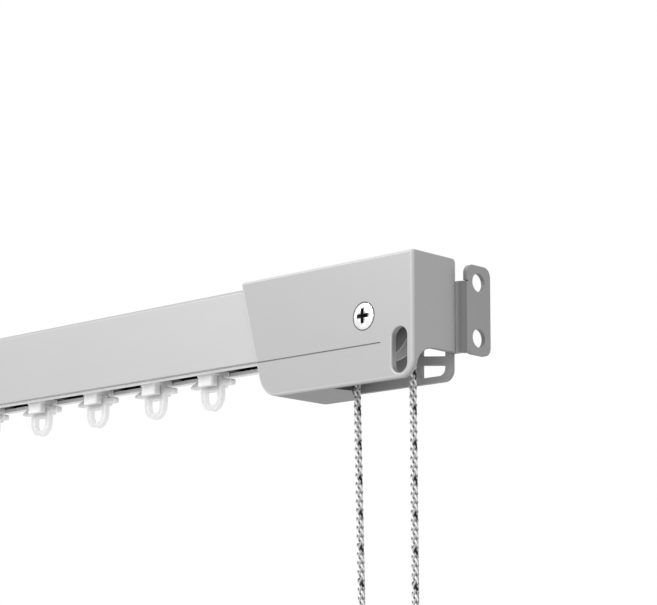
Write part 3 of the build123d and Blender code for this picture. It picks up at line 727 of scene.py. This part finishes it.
def yarn(name, colour, edge, tracer=None):
    """Polyester yarn: fine threads along the strand, and painted shade at its edges where it dips
    under the next.
    A tracer's colour shows for a quarter of each turn, and the spots drift a little along the cord."""
    material = bpy.data.materials.new(name)
    material.use_nodes = True
    nodes = material.node_tree.nodes
    links = material.node_tree.links
    shader = nodes["Principled BSDF"]
    shader.inputs["Roughness"].default_value = 0.62
    shader.inputs["Specular IOR Level"].default_value = 0.25
    place = nodes.new("ShaderNodeTexCoord")
    stretch = nodes.new("ShaderNodeMapping")
    stretch.inputs["Scale"].default_value = (0.8, 14.0, 1.0)
    stretch.inputs["Rotation"].default_value = (0, 0, 0.12)
    threads = nodes.new("ShaderNodeTexNoise")
    threads.inputs["Scale"].default_value = 1.6
    threads.inputs["Detail"].default_value = 3.0
    split = nodes.new("ShaderNodeSeparateXYZ")
    turn = nodes.new("ShaderNodeMath")
    turn.operation = "MULTIPLY"
    turn.inputs[1].default_value = 2 * math.pi
    crown = nodes.new("ShaderNodeMath")
    crown.operation = "SINE"
    band = nodes.new("ShaderNodeMapRange")
    band.inputs["From Min"].default_value = 0.25
    band.inputs["From Max"].default_value = 0.95
    mixed = nodes.new("ShaderNodeMath")
    mixed.operation = "MULTIPLY_ADD"
    mixed.inputs[1].default_value = 0.35
    # Painted shade: the strand's edges are darkened by the edge factor.
    tone = nodes.new("ShaderNodeMix")
    tone.data_type = "RGBA"
    tone.clamp_factor = True
    tone.inputs["A"].default_value = (*[edge * c for c in colour], 1)
    tone.inputs["B"].default_value = (*colour, 1)
    lower = nodes.new("ShaderNodeMath")
    lower.operation = "SUBTRACT"
    lower.inputs[1].default_value = 0.17
    bump = nodes.new("ShaderNodeBump")
    bump.inputs["Strength"].default_value = 0.5
    bump.inputs["Distance"].default_value = 0.00008
    last = tone.outputs["Result"]
    if tracer:
        turns = nodes.new("ShaderNodeMath")
        turns.operation = "MULTIPLY_ADD"
        turns.inputs[1].default_value = 0.001 / braid_pitch + spot_drift
        turns.inputs[2].default_value = start_turn / (2 * math.pi) + spot_start
        links.new(split.outputs["X"], turns.inputs[0])
        within = nodes.new("ShaderNodeMath")
        within.operation = "FRACT"
        links.new(turns.outputs[0], within.inputs[0])
        shows = nodes.new("ShaderNodeMath")
        shows.operation = "COMPARE"
        shows.inputs[1].default_value = 0.5
        shows.inputs[2].default_value = spot_half_length
        links.new(within.outputs[0], shows.inputs[0])
        marked = nodes.new("ShaderNodeMix")
        marked.data_type = "RGBA"
        marked.inputs["B"].default_value = (*tracer, 1)
        links.new(shows.outputs[0], marked.inputs["Factor"])
        links.new(last, marked.inputs["A"])
        last = marked.outputs["Result"]
    links.new(place.outputs["UV"], stretch.inputs["Vector"])
    links.new(stretch.outputs["Vector"], threads.inputs["Vector"])
    links.new(place.outputs["UV"], split.inputs["Vector"])
    links.new(split.outputs["Y"], turn.inputs[0])
    links.new(turn.outputs[0], crown.inputs[0])
    links.new(crown.outputs[0], band.inputs["Value"])
    links.new(threads.outputs["Fac"], mixed.inputs[0])
    links.new(band.outputs["Result"], mixed.inputs[2])
    links.new(mixed.outputs[0], lower.inputs[0])
    links.new(lower.outputs[0], tone.inputs["Factor"])
    links.new(last, shader.inputs["Base Color"])
    links.new(threads.outputs["Fac"], bump.inputs["Height"])
    links.new(bump.outputs["Normal"], shader.inputs["Normal"])
    return material


# Each yarn's edge value sets how dark the painted shade at its strands' edges is.
white_yarn = yarn("white yarn", (0.84, 0.84, 0.84), edge=0.4)
traced_yarn = yarn("traced yarn", (0.84, 0.84, 0.84), edge=0.4, tracer=(0.006, 0.006, 0.006))
# Painted shade: the grey strands and the darker core.
shaded_grey_yarn = yarn("shaded grey yarn", (0.43, 0.43, 0.432), edge=0.35)
shaded_core_yarn = yarn("shaded core yarn", (0.20, 0.20, 0.20), edge=0.8)
strands = [
    shaded_grey_yarn, shaded_grey_yarn, shaded_grey_yarn, shaded_grey_yarn,
    white_yarn, white_yarn, traced_yarn, white_yarn, shaded_core_yarn,
]
hanging_line = spline_points("hanging_cord_line", hanging_route)
hanging_cord = braid("hanging_cord_braid", hanging_line, step=0.00032, sides=8, materials=strands)
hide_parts("hanging_cord")
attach(hanging_cord, "track")
rail_line = spline_points("rail_cord_line", rail_route)
rail_cord = braid("rail_cord_braid", rail_line, step=0.0008, sides=6, materials=strands)
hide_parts("rail_cord")
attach(rail_cord, "track")

# Cord weight: a turned slug in light grey enamel that hangs on a steel yoke, screwed on from above.
# The yoke's pin carries a fourth acetal wheel, which the cord's loop pulls down on.
grey_enamel = finish(
    "grey enamel", (0.42, 0.42, 0.43), coat=0.3, Scale=600.0, Contrast=0.04, Roughness=0.35,
)
rounded_copy("cord_weight", "track", grey_enamel, width=0.0002)
rounded_copy("weight_yoke", "track", turned_steel, width=0.00012)
rounded_copy("weight_pin", "track", turned_steel, width=0.00008)
rounded_copy("weight_screw", "track", bright_zinc, width=0.00008)
rounded_copy("weight_wheel", "weight_wheel", wheel_moulding, width=0.0001)

# Floor and lights: a plain pale floor under an even white sky, with a large soft lamp in front, high
# on the left, and a small faint one beside the camera for the rounded edges.
floor_place = (-0.2, 0, -0.30)
bpy.ops.mesh.primitive_plane_add(size=6.0, location=floor_place)
floor = bpy.context.active_object
floor.name = "floor"
floor.data.materials.append(
    finish("pale floor", (0.60, 0.60, 0.60), Scale=30.0, Contrast=0.02, Roughness=0.8)
)
sky = bpy.data.worlds.new("pale sky")
sky.use_nodes = True
sky_glow = sky.node_tree.nodes["Background"]
sky_glow.inputs["Color"].default_value = (1.0, 1.0, 1.0, 1)
sky_glow.inputs["Strength"].default_value = 1.0
bpy.context.scene.world = sky


def soft_lamp(name, place, towards, size, power):
    """Square lamp that faces a point, its size in metres and its power in watts."""
    lamp = bpy.data.objects.new(name, bpy.data.lights.new(name, "AREA"))
    bpy.context.scene.collection.objects.link(lamp)
    lamp.data.size = size
    lamp.data.energy = power
    lamp.location = place
    lamp.rotation_mode = "QUATERNION"
    lamp.rotation_quaternion = (Vector(towards) - Vector(place)).to_track_quat("-Z", "Y")


soft_lamp("front lamp", (-0.9, -1.6, 0.9), towards=(-0.1, 0, 0), size=1.0, power=26.0)
soft_lamp("edge lamp", (0.62, -0.64, 0.0), towards=(-0.05, 0, -0.01), size=0.3, power=0.5)

# Camera: it looks up at the control head from the room's side, as the photograph does, through a
# long lens about 0.7 m away.
camera = bpy.data.objects.new("camera", bpy.data.cameras.new("camera"))
bpy.context.scene.collection.objects.link(camera)
camera.data.lens = 119.31
camera.data.clip_start = 0.01
looking_right = Vector((0.7238, 0.6900, 0.0059)).normalized()
looking_up = Vector((0.1344, -0.1495, 0.9796)).normalized()
looking_back = looking_right.cross(looking_up)
facing = Matrix((looking_right, looking_up, looking_back)).transposed().to_4x4()
camera_place = (0.42942, -0.51782, -0.13540)
camera.matrix_world = Matrix.Translation(camera_place) @ facing
bpy.context.scene.camera = camera
bpy.context.scene.view_settings.view_transform = "Standard"
